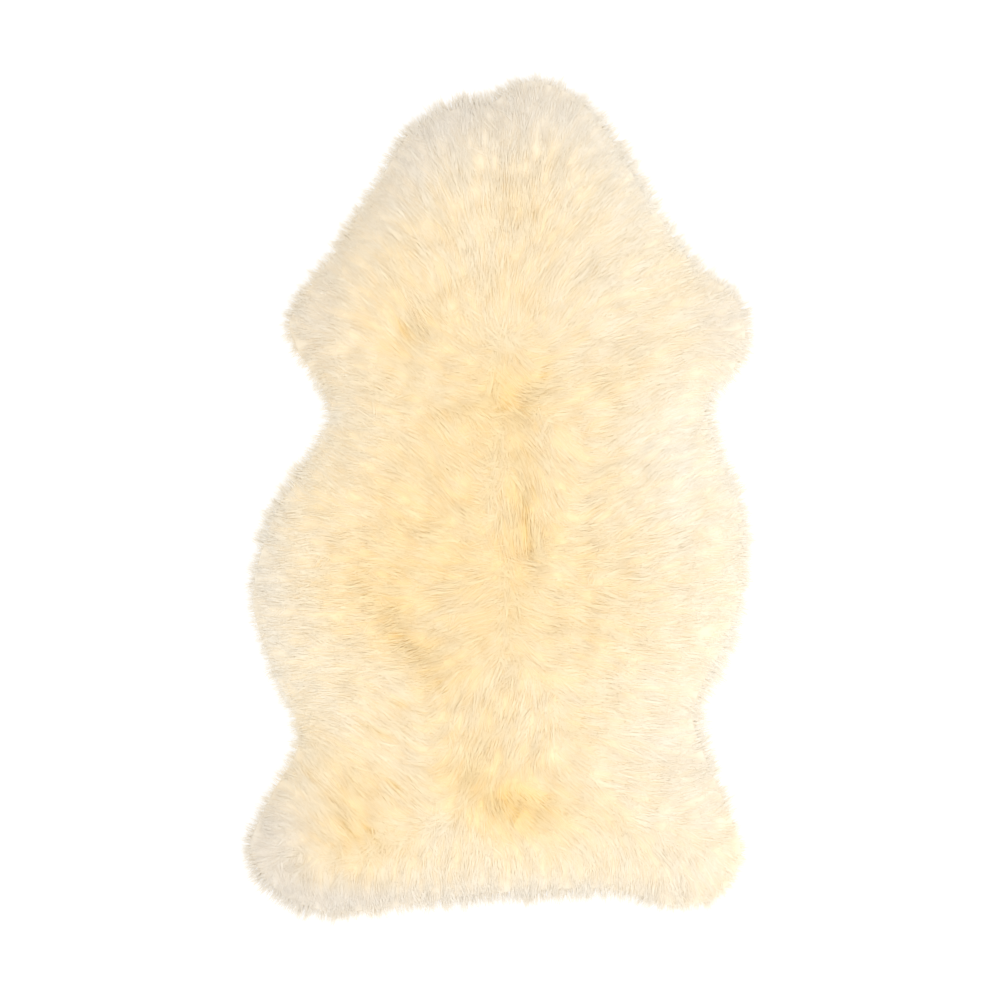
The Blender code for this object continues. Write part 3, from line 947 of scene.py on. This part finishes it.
def make_wool_material():
    """Cream wool: warmer deep down and on the back, paler at the tips, each strand its own; the
    warmth deep down and in the partings is partly painted shade, the paleness on the right and at
    the rim partly painted light, and the rims' darker grey is painted shade.
    """
    material, tree, shader = new_material("wool")
    place = add_node(tree, "ShaderNodeTexCoord").outputs["Object"]
    cloud_inputs = {"Vector": place, "Scale": CLOUD_SCALE, "Detail": CLOUD_DETAIL}
    cloud = add_node(tree, "ShaderNodeTexNoise", cloud_inputs).outputs["Fac"]
    cloudy = scalar(tree, "MULTIPLY_ADD", cloud, CLOUD_WARMTH, -CLOUD_WARMTH / 2)
    # warmer towards the roots: partly the deep wool's own tone, partly painted shade
    deep_tone_and_shade = scalar(tree, "MULTIPLY_ADD", attribute(tree, "along"), -DEPTH_WARMTH_AND_SHADE, DEPTH_WARMTH_AND_SHADE)
    own = scalar(tree, "MULTIPLY_ADD", attribute(tree, "chance"), STRAND_WARMTH, -STRAND_WARMTH / 2)
    warmth = attribute(tree, "warmth")
    for part in (cloudy, deep_tone_and_shade, own):
        warmth = scalar(tree, "ADD", warmth, part)
    share = scalar(tree, "MULTIPLY_ADD", warmth, 1 / (1 - PALEST), -PALEST / (1 - PALEST))
    colour = blend_colours(tree, clamped(tree, share), WOOL_PALE, WOOL_WARM)
    # painted shade: the rims are darkened towards a darker grey
    painted_shade = clamped(tree, attribute(tree, "painted_shade"))
    put(tree, shader.inputs["Base Color"], blend_colours(tree, painted_shade, colour, WOOL_SHADE))
    put(tree, shader.inputs["Roughness"], WOOL_ROUGHNESS)
    put(tree, shader.inputs["Specular IOR Level"], WOOL_SPECULAR)
    put(tree, shader.inputs["Sheen Weight"], WOOL_SHEEN)
    put(tree, shader.inputs["Sheen Roughness"], WOOL_SHEEN_ROUGHNESS)
    return material


def make_suede_material():
    """Undyed suede: cloudy patches and a fine nap."""
    material, tree, shader = new_material("suede")
    place = add_node(tree, "ShaderNodeTexCoord").outputs["Object"]
    cloud_inputs = {"Vector": place, **SUEDE_CLOUD}
    cloud = add_node(tree, "ShaderNodeTexNoise", cloud_inputs).outputs["Fac"]
    nap_inputs = {"Vector": place, **SUEDE_NAP}
    nap = add_node(tree, "ShaderNodeTexNoise", nap_inputs).outputs["Fac"]
    fine = scalar(tree, "MULTIPLY_ADD", nap, SUEDE_NAP_SHARE, -SUEDE_NAP_SHARE / 2)
    ramp = add_node(tree, "ShaderNodeValToRGB", {"Fac": scalar(tree, "ADD", cloud, fine)})
    for stop, (position, colour) in zip(ramp.color_ramp.elements, SUEDE_STOPS):
        stop.position = position
        stop.color = colour
    bump = add_node(tree, "ShaderNodeBump", {**SUEDE_BUMP, "Height": nap})
    put(tree, shader.inputs["Base Color"], ramp.outputs["Color"])
    put(tree, shader.inputs["Normal"], bump.outputs["Normal"])
    put(tree, shader.inputs["Roughness"], SUEDE_ROUGHNESS)
    put(tree, shader.inputs["Sheen Weight"], SUEDE_SHEEN)
    return material


# ---------------------------------------------------------------- stage


def make_floor():
    """A plain pale floor that glows a little, so the soft rim of the rug fades into it."""
    half = FLOOR_SIZE / 2
    corners = np.array([(-half, -half), (half, -half), (half, half), (-half, half)])
    points = np.column_stack([corners, np.full(4, -FLOOR_DROP)])
    floor = make_mesh("floor", points, [np.array([[0, 1, 2, 3]])], {})
    material, tree, shader = new_material("floor")
    put(tree, shader.inputs["Base Color"], FLOOR_GREY)
    put(tree, shader.inputs["Roughness"], FLOOR_ROUGHNESS)
    put(tree, shader.inputs["Specular IOR Level"], 0.0)
    put(tree, shader.inputs["Emission Color"], WHITE)
    put(tree, shader.inputs["Emission Strength"], FLOOR_GLOW)
    floor.data.materials.append(material)


def make_lights():
    """A white dome and one soft key from the rug's right and foot."""
    world = bpy.data.worlds.new("dome")
    world.use_nodes = True
    background = world.node_tree.nodes["Background"]
    background.inputs["Color"].default_value = WHITE
    background.inputs["Strength"].default_value = DOME_STRENGTH
    bpy.context.scene.world = world
    light = bpy.data.lights.new("key", "AREA")
    light.shape = "DISK"
    light.size = KEY_SIZE
    light.energy = KEY_POWER
    key = bpy.data.objects.new("key", light)
    key.location = KEY_PLACE
    key.rotation_euler = (-Vector(KEY_PLACE)).to_track_quat("-Z", "Y").to_euler()
    bpy.context.scene.collection.objects.link(key)


def make_camera():
    """Straight above the rug, the neck at the top of the picture."""
    data = bpy.data.cameras.new("camera")
    data.lens = CAMERA_LENS
    data.sensor_width = CAMERA_SENSOR
    camera = bpy.data.objects.new("camera", data)
    camera.location = CAMERA_PLACE
    bpy.context.scene.collection.objects.link(camera)
    bpy.context.scene.camera = camera
    bpy.context.scene.view_settings.view_transform = "Standard"


def dress(obj, material):
    """Give a piece its material and bind it to the rug's body."""
    obj.data.materials.append(material)
    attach(obj, BODY)


def main():
    """Build the rug's pieces and bind them, then its stage, lights and camera."""
    outline = smooth_outline()
    fields = Fields(outline)
    chance = np.random.default_rng(SEED)
    wool = make_wool_material()
    body = make_under_fleece(fields, outline)
    dress(body, wool)
    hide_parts("sheepskin")
    crown_names = ("wool_neck", "wool_shoulders", "wool_back", "wool_haunches")
    parts = dict(zip(crown_names, np.array_split(crown_wool(fields, chance), len(crown_names))))
    parts["wool_rim"] = rim_wool(fields, outline, chance)
    for name, centres in parts.items():
        piece = make_strands(name, fields, centres, chance)
        dress(piece, wool)
    hide, flat_size, area = make_hide(fields, outline)
    dress(hide, make_suede_material())
    make_floor()
    make_lights()
    make_camera()


main()
